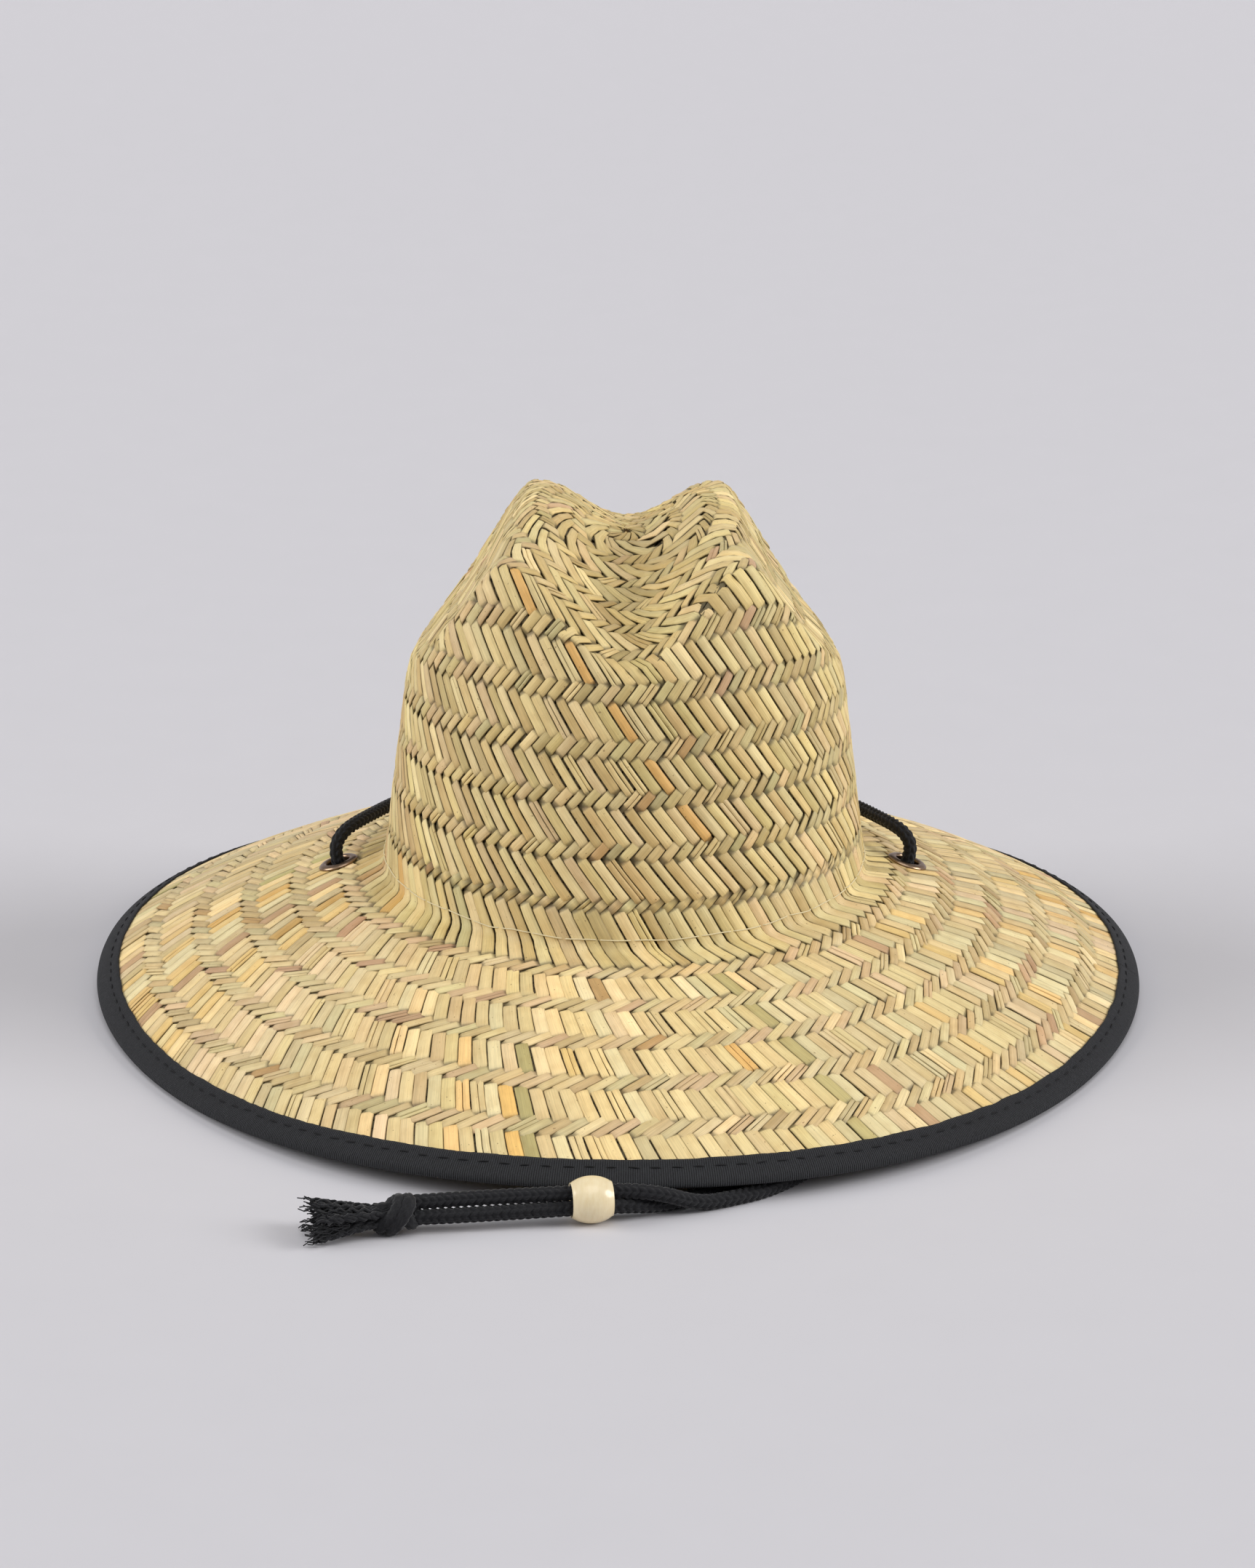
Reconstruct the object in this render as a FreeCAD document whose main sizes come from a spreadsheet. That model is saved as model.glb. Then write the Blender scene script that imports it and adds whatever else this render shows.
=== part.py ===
"""Straw sun hat with a creased crown, a bound brim and a chin cord with a sliding bead.

Millimetres. +Z is up, +X is the wearer's one side, -Y is the end where the chin cord lies.
The origin is under the middle of the brim, on the surface that the hat stands on.
The crown and the brim are one wall, WALL thick. A point of it is given by an angle round the hat
and a share: from the foot of the crown to the middle of its top, or from the foot to the brim's edge.
"""

import FreeCAD
import Part
import math
import os

import Sketcher

V = FreeCAD.Vector
doc = FreeCAD.newDocument("straw_sun_hat")

# ---------------------------------------------------------------- driving dimensions
sheet = doc.addObject("Spreadsheet::Sheet", "dims")
DRIVING = {
    "wall_thick": 3.0,          # two layers of woven rush
    "crown_half_width": 87.0,   # outside of the crown's foot, across
    "crown_half_length": 103.5,  # outside of the crown's foot, along
    "crown_foot": 51.3,         # height of the foot above the table
    "crown_x": 2.05,            # middle of the crown, from the middle of the brim
    "crown_y": 5.85,
    "lean_sides": 0.125,        # how far the wall leans in for each millimetre up
    "lean_ends": 0.24,
    "ridge_height": 179.0,
    "ridge_spacing": 38.0,      # half the distance between the two ridges
    "ridge_taper": 6.2,         # the ridges come together towards +Y
    "gutter_depth": 23.8,       # the crease between the ridges
    "side_slope": 1.5,          # fall of the top outside a ridge
    "dent_depth": 8.0,          # the pinch in each side
    "brim_half_width": 190.5,   # to the outside of the binding
    "brim_half_length": 207.0,
    "brim_shift": -2.0,
    "lobe_share": 0.028,        # the brim is slightly three-cornered
    "lobe_lift": 3.3,
    "rim_height": 2.18,         # top of the straw at the brim's edge, where the hat stands
    "binding_wide": 7.4,
    "binding_thick": 0.8,
    "stitch_radius": 0.35,
    "thread_thick": 0.7,
    "sweatband_thick": 1.2,
    "eyelet_share": 0.16,       # where the eyelets sit across the brim
    "eyelet_left_turn": 2.4,    # degrees towards +Y from the widest line
    "eyelet_right_turn": 4.9,
    "flange_radius": 7.35,
    "flange_thick": 0.9,
    "flange_round": 0.3,
    "barrel_radius": 4.9,
    "bore_radius": 4.3,
    "cord_radius": 2.3,
    "bead_radius": 7.65,
    "bead_bore": 5.3,
    "knot_radius": 6.6,
}
for row, (word, number) in enumerate(DRIVING.items(), start=1):
    sheet.set("A%d" % row, word)
    sheet.set("B%d" % row, str(number))
    sheet.setAlias("B%d" % row, word)
doc.recompute()


def dim(word):
    return float(sheet.get(word))


WALL = dim("wall_thick")
FOOT = dim("crown_foot")
MIDDLE = V(dim("crown_x"), dim("crown_y"), 0)
HALF_W = dim("crown_half_width")
HALF_L = dim("crown_half_length")
AROUND = 48                     # points that shape each ring
CROWN_RINGS = 16
SHOULDER_SOFT = 11.4            # how gently the wall turns into the top
RIDGE_SOFT = 5.2
EDGE_SHARE = 0.988              # where the straw ends inside the fold of the binding
BINDING_SHARE = EDGE_SHARE - dim("binding_wide") / (dim("brim_half_width") - HALF_W)
BRIM_SHARES = [0.05, 0.16, 0.3, 0.45, 0.6, 0.75, BINDING_SHARE, 0.94, EDGE_SHARE]


# ---------------------------------------------------------------- the wall's outer surface
def top_height(x, y):
    """Height of the pinched top: two ridges, the gutter between them and a dent in each side."""
    along = y / HALF_L
    spacing = dim("ridge_spacing") - dim("ridge_taper") * along
    ridge = dim("ridge_height") + 2.1 * along - 4.1 * along**2 - 12.4 * along**4
    gutter = dim("gutter_depth") - 9.3 * along - 5.2 * along**2
    across = min(abs(x) / spacing, 1.0)
    outside = max(abs(x) - spacing, 0.0)
    fall = dim("side_slope") * (math.hypot(outside, RIDGE_SOFT) - RIDGE_SOFT)
    dent = dim("dent_depth") * math.exp(-(((abs(x) - 54.0) / 17.0) ** 2) - ((y - 8.0) / 54.0) ** 4)
    return ridge - gutter * 0.5 * (1.0 + math.cos(math.pi * across)) - fall - dent


def wall_height(angle, share_out):
    """Height of the leaning side wall where a ray meets it at that share of the foot's ring."""
    c, s = math.cos(angle), math.sin(angle)
    lean = dim("lean_sides") * c * c + dim("lean_ends") * s * s
    return FOOT + (1.0 - share_out) * math.hypot(HALF_W * c, HALF_L * s) / lean


def soft_min(a, b, soft):
    h = min(max(0.5 + 0.5 * (b - a) / soft, 0.0), 1.0)
    return b + (a - b) * h - soft * h * (1.0 - h)


def crown_profile(angle, steps, samples=700):
    """Points up one side of the crown, evenly spaced from its foot to the middle of its top."""
    line = []
    for k in range(samples + 1):
        out = 1.0 - (k / samples) ** 3
        x, y = HALF_W * out * math.cos(angle), HALF_L * out * math.sin(angle)
        height = soft_min(wall_height(angle, out), top_height(x, y), SHOULDER_SOFT)
        line.append(MIDDLE + V(x, y, height))
    line[0].z = FOOT
    gone = [0.0]
    for a, b in zip(line, line[1:]):
        gone.append(gone[-1] + (b - a).Length)
    points, k = [], 0
    for step in range(steps + 1):
        want = gone[-1] * step / steps
        while k < samples - 1 and gone[k + 1] < want:
            k += 1
        part = (want - gone[k]) / max(gone[k + 1] - gone[k], 1e-9)
        points.append(line[k] + (line[k + 1] - line[k]) * min(part, 1.0))
    return points


def brim_point(angle, share):
    """A point of the brim's upper surface. Its edge is low at three places and lifted between them."""
    lobe = math.sin(3.0 * angle)
    swell = 1.0 + dim("lobe_share") * share * lobe
    x = (HALF_W + (dim("brim_half_width") - HALF_W) * share) * math.cos(angle) * swell
    y = (HALF_L + (dim("brim_half_length") - HALF_L) * share) * math.sin(angle) * swell
    rim = dim("rim_height") + dim("lobe_lift") * (1.0 + lobe)
    fall = 0.64 * share + 0.36 * share**2.37
    return MIDDLE + V(x + dim("brim_shift") * share, y, FOOT + (rim - FOOT) * fall)


def brim_normal(angle, share):
    d = 1e-3
    along = brim_point(angle + d, share) - brim_point(angle - d, share)
    out = brim_point(angle, share + d) - brim_point(angle, share - d)
    return out.cross(along).normalize()


ANGLES = [2.0 * math.pi * k / AROUND for k in range(AROUND)]


def brim_ring(share, depth):
    """A ring of points at a share of the brim, that far under its upper surface."""
    return [brim_point(a, share) - brim_normal(a, share) * depth for a in ANGLES]


def crown_grid():
    """The crown's outer points and outward normals, one list for each ring from its foot up."""
    columns = [crown_profile(a, CROWN_RINGS) for a in ANGLES]
    points = [[column[r] for column in columns] for r in range(CROWN_RINGS)]
    normals = []
    for r in range(CROWN_RINGS):
        low, high = max(r - 1, 0), r + 1
        ring = []
        for k, column in enumerate(columns):
            along = columns[(k + 1) % AROUND][r] - columns[k - 1][r]
            ring.append(along.cross(column[high] - column[low]).normalize())
        normals.append(ring)
    return points, normals


OUTER, NORMALS = crown_grid()


def crown_ring(r, depth):
    """Ring r of the crown, that far inside its outer surface. The foot and the last ring are level."""
    ring = [p - n * depth for p, n in zip(OUTER[r], NORMALS[r])]
    if r == 0:
        ring = [V(p.x, p.y, FOOT) for p in ring]
    if r == CROWN_RINGS - 1:
        middle = sum(p.z for p in ring) / AROUND
        ring = [V(p.x, p.y, middle) for p in ring]
    return ring


# ---------------------------------------------------------------- making solids
def closed_edge(ring):
    curve = Part.BSplineCurve()
    curve.interpolate(Points=ring, PeriodicFlag=True)
    return curve.toShape()


def skin(edges):
    """Ruled faces from each closed edge to the next."""
    return [Part.makeRuledSurface(a, b) for a, b in zip(edges, edges[1:])]


def solid_of(faces):
    shell = Part.Shell(faces)
    shell.sewShape()
    solid = Part.Solid(shell)
    if solid.Volume < 0:
        solid.reverse()
    return solid


def hoop(rings):
    """A solid ring: its section has one corner on each of the given rings."""
    edges = [closed_edge(ring) for ring in rings]
    return solid_of(skin(edges + edges[:1]))


def feature(name, shape):
    made = doc.addObject("Part::Feature", name)
    made.Label = name
    made.Shape = shape
    return made


def standing_on(point, axis):
    """The place that puts a piece's own +Z along that axis."""
    return FreeCAD.Placement(point, FreeCAD.Rotation(V(0, 0, 1), axis))


# ---------------------------------------------------------------- straw
def make_straw_crown():
    up = [crown_ring(r, 0.0) for r in range(CROWN_RINGS)]
    inside = [crown_ring(r, WALL) for r in range(CROWN_RINGS)]
    edges = [closed_edge(ring) for ring in up[::-1] + inside]
    tops = [Part.Face(Part.Wire(edge)) for edge in (edges[0], edges[-1])]
    return feature("straw_crown", solid_of(skin(edges) + tops))


def eyelet_place(side):
    if side < 0:
        angle = math.pi - math.radians(dim("eyelet_left_turn"))
    else:
        angle = math.radians(dim("eyelet_right_turn"))
    share = dim("eyelet_share")
    return brim_point(angle, share), brim_normal(angle, share)


def make_straw_brim():
    foot_outside = crown_ring(0, 0.0)
    foot_inside = crown_ring(0, WALL)
    under_foot = [p - V(0, 0, WALL) for p in foot_inside]
    rings = [foot_inside, foot_outside]
    rings += [brim_ring(share, 0.0) for share in BRIM_SHARES]
    rings += [brim_ring(share, WALL) for share in BRIM_SHARES[::-1]]
    rings.append(under_foot)
    shape = hoop(rings)
    for side in (-1, 1):
        point, normal = eyelet_place(side)
        hole = Part.makeCylinder(dim("barrel_radius"), 4 * WALL, point - normal * 2 * WALL, normal)
        shape = shape.cut(hole)
    return feature("straw_brim", shape.Solids[0])


# ---------------------------------------------------------------- edge binding and threads
def make_brim_binding():
    tape = dim("binding_thick")
    shares = [s for s in BRIM_SHARES if s >= BINDING_SHARE]
    over = [brim_ring(s, -tape) for s in shares]
    under = [brim_ring(s, WALL + tape) for s in shares[::-1]]
    nose = [brim_ring(1.0, 0.25 * WALL), brim_ring(1.0, 0.75 * WALL)]
    inner = [brim_ring(s, WALL) for s in shares] + [brim_ring(s, 0.0) for s in shares[::-1]]
    return feature("brim_binding", hoop(over + nose + under + inner))


def make_binding_stitches():
    """The stitches that show on the tape, each a short straight thread lying half in it."""
    count, sewn = 170, 0.55
    share = BINDING_SHARE + 0.35 * (EDGE_SHARE - BINDING_SHARE)
    stitches = []
    for k in range(count):
        ends = []
        for part in (0.0, sewn):
            angle = 2.0 * math.pi * (k + part) / count
            lift = brim_normal(angle, share) * dim("binding_thick")
            ends.append(brim_point(angle, share) + lift)
        run = ends[1] - ends[0]
        stitches.append(Part.makeCylinder(dim("stitch_radius"), run.Length, ends[0], run))
    return feature("binding_stitches", Part.makeCompound(stitches))


def make_crown_seam_thread():
    thick = dim("thread_thick")
    low, high = 3.0, 3.0 + thick
    corners = []
    for height, proud in ((low, thick), (high, thick), (high, -0.2), (low, -0.2)):
        ring = []
        for a in ANGLES:
            lean = dim("lean_sides") * math.cos(a) ** 2 + dim("lean_ends") * math.sin(a) ** 2
            reach = proud - lean * height
            x, y = (HALF_W + reach) * math.cos(a), (HALF_L + reach) * math.sin(a)
            ring.append(MIDDLE + V(x, y, FOOT + height))
        corners.append(ring)
    return feature("crown_seam_thread", hoop(corners))


def make_sweatband():
    rows = range(4)
    outside = [crown_ring(r, WALL) for r in rows]
    inside = [crown_ring(r, WALL + dim("sweatband_thick")) for r in rows]
    return feature("sweatband", hoop(outside + inside[::-1]))


# ---------------------------------------------------------------- eyelets
def cylinder(name, radius, height, base="0 mm"):
    made = doc.addObject("Part::Cylinder", name)
    made.setExpression("Radius", radius)
    made.setExpression("Height", height)
    made.setExpression("Placement.Base.z", base)
    return made


def drilled(name, solid, radius, height, base):
    """A round piece with a hole right through it."""
    made = doc.addObject("Part::Cut", name)
    made.Base = solid
    made.Tool = cylinder(name + "_hole", radius, height, base)
    made.Label = name
    return made


def make_eyelet(name, side):
    """Flange on top of the straw and a barrel down through it. Its own zero is the straw's top."""
    lift = 0.15
    flange = cylinder(name + "_flange", "dims.flange_radius", "dims.flange_thick", "%g mm" % lift)
    barrel = cylinder(
        name + "_barrel", "dims.barrel_radius", "dims.wall_thick + 2 * dims.flange_thick + 0.3",
        "-dims.wall_thick - dims.flange_thick - 0.15",
    )
    both = doc.addObject("Part::Fuse", name + "_blank")
    both.Base, both.Tool = flange, barrel
    plain = drilled(name + "_plain", both, "dims.bore_radius", "40", "-20")
    doc.recompute()
    rims = []
    for index, edge in enumerate(plain.Shape.Edges, start=1):
        if edge.BoundBox.ZMin > lift + 0.9 * dim("flange_thick"):
            rims.append((index, dim("flange_round"), dim("flange_round")))
    eyelet = doc.addObject("Part::Fillet", name)
    eyelet.Base = plain
    eyelet.Edges = rims
    eyelet.Label = name
    point, normal = eyelet_place(side)
    eyelet.Placement = standing_on(point, normal)
    print("%s: middle of its hole %s, normal %s" % (name, point - normal * 0.5 * WALL, normal))
    return eyelet


def make_washer(name, side):
    ring = cylinder(
        name + "_disc", "dims.flange_radius", "dims.flange_thick",
        "-dims.wall_thick - dims.flange_thick - 0.15",
    )
    washer = drilled(name, ring, "dims.barrel_radius", "40", "-20")
    point, normal = eyelet_place(side)
    washer.Placement = standing_on(point, normal)
    return washer


# ---------------------------------------------------------------- chin cord
KNOT = V(-69.0, -225.7, 6.6)
BEAD = V(-7.7, -215.3, 7.65)
TO_BEAD = V(BEAD.x - KNOT.x, BEAD.y - KNOT.y, 0.0).normalize()
ACROSS = V(-TO_BEAD.y, TO_BEAD.x, 0.0)
# From the lower cord to the upper one, which also lies a little nearer the hat.
STACKED = ACROSS * 0.45 + V(0, 0, 0.89)

# The points of the three stretches of the one cord, by hand, from the middle of an eyelet's hole.
BEHIND_CROWN = [
    (-101.4, 10.9, 45.0), (-102.7, 10.9, 49.3), (-102.6, 12.1, 53.5), (-100.4, 14.9, 56.7),
    (-96.9, 19.6, 58.4), (-91.8, 29.0, 58.7), (-83.5, 47.5, 58.0), (-69.9, 71.2, 57.0),
    (-52.0, 91.3, 56.0), (-30.6, 106.0, 55.6), (-7.0, 113.8, 55.4), (17.4, 113.2, 55.5),
    (40.4, 103.9, 55.8), (60.8, 87.6, 56.3), (78.2, 65.5, 57.0), (89.6, 45.0, 57.8),
    (96.2, 30.5, 58.5), (100.6, 22.6, 58.4), (104.0, 18.6, 56.8), (106.1, 16.5, 53.6),
    (105.9, 16.1, 49.3), (104.6, 16.1, 45.0),
]
LEFT_FALL = [
    (-101.4, 10.9, 45.0), (-99.1, 10.9, 37.4), (-97.5, 9.6, 28.0), (-95.0, 6.4, 18.5),
    (-90.0, 0.4, 10.0), (-82.0, -7.9, 4.6), (-71.0, -16.6, 2.5), (-54.0, -29.6, 2.4),
    (-30.9, -44.1, 2.4), (-6.0, -61.1, 2.4), (17.1, -83.2, 2.4), (36.0, -109.2, 2.4),
    (48.0, -136.2, 2.4), (51.0, -157.0, 2.4), (46.5, -175.5, 2.4), (36.5, -189.5, 2.4),
    (25.5, -199.5, 2.4), (14.5, -208.4, 3.0),
]
RIGHT_FALL = [
    (104.6, 16.1, 45.0), (102.3, 16.1, 37.4), (102.6, 13.9, 28.6), (105.0, 9.4, 20.0),
    (108.5, 2.2, 12.0), (112.0, -8.2, 6.0), (114.5, -21.1, 3.0), (115.0, -38.1, 2.4),
    (112.0, -61.1, 2.4), (105.0, -86.2, 2.4), (97.0, -112.2, 2.4), (84.0, -138.2, 2.4),
    (71.0, -162.2, 2.4), (60.5, -180.0, 2.4), (49.0, -193.5, 2.4), (38.0, -200.5, 2.5),
    (27.0, -206.5, 2.8), (14.5, -212.3, 8.8),
]
# From the far side of the bead into the knot: how far past the bead's middle, and how far aside.
THROUGH_BEAD = [(-10.0, 2.5), (8.0, 2.5), (27.0, 2.8), (46.0, 2.8), (57.0, 2.4)]


def into_knot(side):
    """The last stretch of a fall, above or below the middle of the bead."""
    return [BEAD - TO_BEAD * past + STACKED * (side * aside) for past, aside in THROUGH_BEAD]


def cord_path(route):
    """Straight runs joined by tangent arcs, with the arcs' radii."""
    edges, radii, start = [], [], route[0]
    for before, corner, after in zip(route, route[1:], route[2:]):
        come, go = corner - before, after - corner
        half_turn = 0.5 * come.getAngle(go)
        reach = 0.45 * min(come.Length, go.Length)
        come.normalize()
        go.normalize()
        radius = reach / math.tan(half_turn)
        inward = (go - come).normalize()
        middle = corner + inward * (radius / math.cos(half_turn) - radius)
        first, last = corner - come * reach, corner + go * reach
        edges.append(Part.LineSegment(start, first).toShape())
        edges.append(Part.Arc(first, middle, last).toShape())
        radii.append(radius)
        start = last
    edges.append(Part.LineSegment(start, route[-1]).toShape())
    return Part.Wire(edges), radii


def make_cord(name, route):
    route = [V(*point) if isinstance(point, tuple) else point for point in route]
    path, radii = cord_path(route)
    radius = dim("cord_radius")
    section = Part.Wire(Part.makeCircle(radius, route[0], route[1] - route[0]))
    tube = path.makePipeShell([section], True, True)
    expected = math.pi * radius**2 * path.Length
    print("%s: length %.1f, volume over section times length %.4f, least z %.2f, radii %s" % (
        name, path.Length, tube.Volume / expected, tube.BoundBox.ZMin,
        " ".join("%.0f" % r for r in radii)))
    return feature(name, tube)


def make_bead():
    """A ball with a wide bore. Its own +Z is the bore's axis."""
    body = doc.addObject("PartDesign::Body", "chin_bead")
    body.Label = "chin_bead"
    plane = next(f for f in body.Origin.OriginFeatures if f.Role == "XZ_Plane")
    sketch = body.newObject("Sketcher::SketchObject", "bead_outline")
    sketch.AttachmentSupport = [(plane, "")]
    sketch.MapMode = "FlatFace"
    ball, bore = dim("bead_radius"), dim("bead_bore")
    end = math.sqrt(ball**2 - bore**2)
    tilt = math.atan2(end, bore)
    round_edge = sketch.addGeometry(
        Part.ArcOfCircle(Part.Circle(V(0, 0, 0), V(0, 0, 1), ball), -tilt, tilt))
    wall = sketch.addGeometry(Part.LineSegment(V(bore, end, 0), V(bore, -end, 0)))
    sketch.addConstraint(Sketcher.Constraint("Coincident", round_edge, 3, -1, 1))
    sketch.addConstraint(Sketcher.Constraint("Coincident", round_edge, 2, wall, 1))
    sketch.addConstraint(Sketcher.Constraint("Coincident", round_edge, 1, wall, 2))
    sketch.addConstraint(Sketcher.Constraint("Vertical", wall))
    ball_rule = sketch.addConstraint(Sketcher.Constraint("Radius", round_edge, ball))
    bore_rule = sketch.addConstraint(Sketcher.Constraint("DistanceX", -1, 1, wall, 1, bore))
    sketch.setExpression("Constraints[%d]" % ball_rule, "dims.bead_radius")
    sketch.setExpression("Constraints[%d]" % bore_rule, "dims.bead_bore")
    turned = body.newObject("PartDesign::Revolution", "bead_turned")
    turned.Profile = sketch
    turned.ReferenceAxis = (sketch, ["V_Axis"])
    turned.Angle = 360.0
    body.Placement = standing_on(BEAD, TO_BEAD)
    return body


def make_knot():
    knot = doc.addObject("Part::Sphere", "cord_knot")
    knot.Label = "cord_knot"
    knot.setExpression("Radius", "dims.knot_radius")
    knot.Placement = FreeCAD.Placement(KNOT, FreeCAD.Rotation())
    return knot


# Distance past the knot's middle, half width, half height and height of the middle.
TASSEL = [(5.0, 4.2, 3.4, 6.2), (17.0, 9.0, 3.6, 4.3), (30.0, 15.0, 3.4, 3.8)]


def make_tassel():
    """The loose ends past the knot: from a round neck to a wide, low fan."""
    wires = []
    for along, wide, tall, height in TASSEL:
        centre = V(KNOT.x, KNOT.y, height) - TO_BEAD * along
        oval = Part.Ellipse(centre + ACROSS * wide, centre + V(0, 0, tall), centre)
        wires.append(Part.Wire(oval.toShape()))
    return feature("cord_tassel", Part.makeLoft(wires, True, False))


# ---------------------------------------------------------------- the whole hat
pieces = {
    "straw_crown": make_straw_crown(),
    "straw_brim": make_straw_brim(),
    "brim_binding": make_brim_binding(),
    "binding_stitches": make_binding_stitches(),
    "crown_seam_thread": make_crown_seam_thread(),
    "sweatband": make_sweatband(),
    "eyelet_left": make_eyelet("eyelet_left", -1),
    "eyelet_right": make_eyelet("eyelet_right", 1),
    "eyelet_left_washer": make_washer("eyelet_left_washer", -1),
    "eyelet_right_washer": make_washer("eyelet_right_washer", 1),
    "cord_behind_crown": make_cord("cord_behind_crown", BEHIND_CROWN),
    "cord_left_fall": make_cord("cord_left_fall", LEFT_FALL + into_knot(-1)),
    "cord_right_fall": make_cord("cord_right_fall", RIGHT_FALL + into_knot(1)),
    "chin_bead": make_bead(),
    "cord_knot": make_knot(),
    "cord_tassel": make_tassel(),
}
doc.recompute()

for made in doc.Objects:
    if {"Invalid", "Error"} & set(made.State):
        raise RuntimeError("%s did not recompute: %s" % (made.Name, made.State))
os.makedirs("parts", exist_ok=True)
for node, made in pieces.items():
    shape = made.Shape
    if shape.isNull() or not shape.isValid() or not shape.Solids:
        raise RuntimeError("%s has no valid solid" % node)
    box = shape.optimalBoundingBox()
    print("%-20s %2d solid, %9.1f mm3, x %.1f..%.1f y %.1f..%.1f z %.2f..%.2f" % (
        node, len(shape.Solids), shape.Volume, box.XMin, box.XMax, box.YMin, box.YMax, box.ZMin, box.ZMax))
    shape.exportStep("parts/%s.step" % node)
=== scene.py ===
"""Looks of the straw sun hat: woven rush, bound brim, eyelets, chin cord, bead, knot and tassel.

Shapes are worked out in millimetres, as in the CAD model, and become metres in make_mesh.
"""

import math

import bpy
import numpy as np
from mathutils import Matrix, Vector


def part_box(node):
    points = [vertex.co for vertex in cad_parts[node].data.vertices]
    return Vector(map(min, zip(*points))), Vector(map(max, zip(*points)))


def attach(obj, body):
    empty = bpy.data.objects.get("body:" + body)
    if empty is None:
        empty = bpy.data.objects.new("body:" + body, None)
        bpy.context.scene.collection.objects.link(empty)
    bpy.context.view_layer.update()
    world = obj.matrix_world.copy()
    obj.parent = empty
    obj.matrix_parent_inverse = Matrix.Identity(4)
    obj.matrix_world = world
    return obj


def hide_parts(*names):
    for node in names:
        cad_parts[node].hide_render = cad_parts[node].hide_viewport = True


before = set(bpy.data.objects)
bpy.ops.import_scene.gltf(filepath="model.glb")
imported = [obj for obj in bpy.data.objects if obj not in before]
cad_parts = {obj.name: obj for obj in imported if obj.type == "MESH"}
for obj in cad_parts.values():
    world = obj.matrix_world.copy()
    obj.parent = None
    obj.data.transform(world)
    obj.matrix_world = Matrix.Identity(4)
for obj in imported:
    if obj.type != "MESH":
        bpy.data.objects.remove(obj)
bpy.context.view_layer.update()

MM = 0.001
rng = np.random.default_rng(7)


def full_turn(count):
    """Angles evenly round a circle."""
    return np.linspace(0.0, 2.0 * np.pi, count, endpoint=False)


def distance_along(line):
    """How far along a line each of its points is."""
    return np.concatenate([[0.0], np.cumsum(np.linalg.norm(np.diff(line, axis=0), axis=1))])


def box_mm(node):
    """A node's lowest and highest corners, in millimetres."""
    low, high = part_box(node)
    return np.array(low) / MM, np.array(high) / MM


# ---------------------------------------------------------------- the hat's outer surface
CROWN_LOW, CROWN_HIGH = box_mm("straw_crown")
CX, CY = 0.5 * (CROWN_LOW[:2] + CROWN_HIGH[:2])
FOOT = CROWN_LOW[2]
# The hat's dimensions, as in the CAD model.
HALF_W, HALF_L = 87.0, 103.5
BRIM_HALF_W, BRIM_HALF_L, BRIM_SHIFT = 190.5, 207.0, -2.0
LEAN_SIDES, LEAN_ENDS = 0.125, 0.24
RIDGE_HEIGHT, RIDGE_SPACING, RIDGE_TAPER = 179.0, 38.0, 6.2
GUTTER_DEPTH, SIDE_SLOPE, DENT_DEPTH = 23.8, 1.5, 8.0
SHOULDER_SOFT, RIDGE_SOFT = 11.4, 5.2
RIM_HEIGHT, LOBE_LIFT, LOBE_SHARE = 2.18, 3.3, 0.028
WALL = 3.0
BINDING_SHARE = 0.9165                             # where the binding starts, as a share of the brim
# How far the weave's centre lies behind the crown's middle, and how long a column of the crown
# would be if its rows stayed as they are at the foot.
WEAVE_CENTRE, MERIDIAN = 52.0, 193.0


def top_height(x, y):
    """Height of the pinched top: two ridges, the gutter between them and a dent in each side."""
    along = y / HALF_L
    spacing = RIDGE_SPACING - RIDGE_TAPER * along
    ridge = RIDGE_HEIGHT + 2.1 * along - 4.1 * along**2 - 12.4 * along**4
    gutter = GUTTER_DEPTH - 9.3 * along - 5.2 * along**2
    across = np.minimum(np.abs(x) / spacing, 1.0)
    outside = np.maximum(np.abs(x) - spacing, 0.0)
    fall = SIDE_SLOPE * (np.hypot(outside, RIDGE_SOFT) - RIDGE_SOFT)
    dent = DENT_DEPTH * np.exp(-(((np.abs(x) - 54.0) / 17.0) ** 2) - ((y - 8.0) / 54.0) ** 4)
    return ridge - gutter * 0.5 * (1.0 + np.cos(np.pi * across)) - fall - dent


def soft_min(a, b, soft):
    """The lesser of two heights, with the corner between them rounded."""
    h = np.clip(0.5 + 0.5 * (b - a) / soft, 0.0, 1.0)
    return b + (a - b) * h - soft * h * (1.0 - h)


def crown_points(angle, rows):
    """One column of the crown, from its foot to the weave's centre, which lies behind the middle."""
    out = 1.0 - np.linspace(0.0, 1.0, 1200) ** 3
    x = HALF_W * out * math.cos(angle)
    y = HALF_L * out * math.sin(angle) + WEAVE_CENTRE * (1.0 - out)
    round_x, round_y = x / HALF_W, y / HALF_L
    ring = np.maximum(np.hypot(round_x, round_y), 1e-9)
    c, s = round_x / ring, round_y / ring
    lean = LEAN_SIDES * c * c + LEAN_ENDS * s * s
    wall = FOOT + (1.0 - ring) * np.hypot(HALF_W * c, HALF_L * s) / lean
    z = soft_min(wall, top_height(x, y), SHOULDER_SOFT)
    z[0] = FOOT
    line = np.stack([x + CX, y + CY, z], axis=1)
    gone = distance_along(line)
    share = np.linspace(0.0, 1.0, rows)
    want = MERIDIAN * share + (gone[-1] - MERIDIAN) * share**3
    return np.stack([np.interp(want, gone, line[:, k]) for k in range(3)], axis=1)


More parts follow.
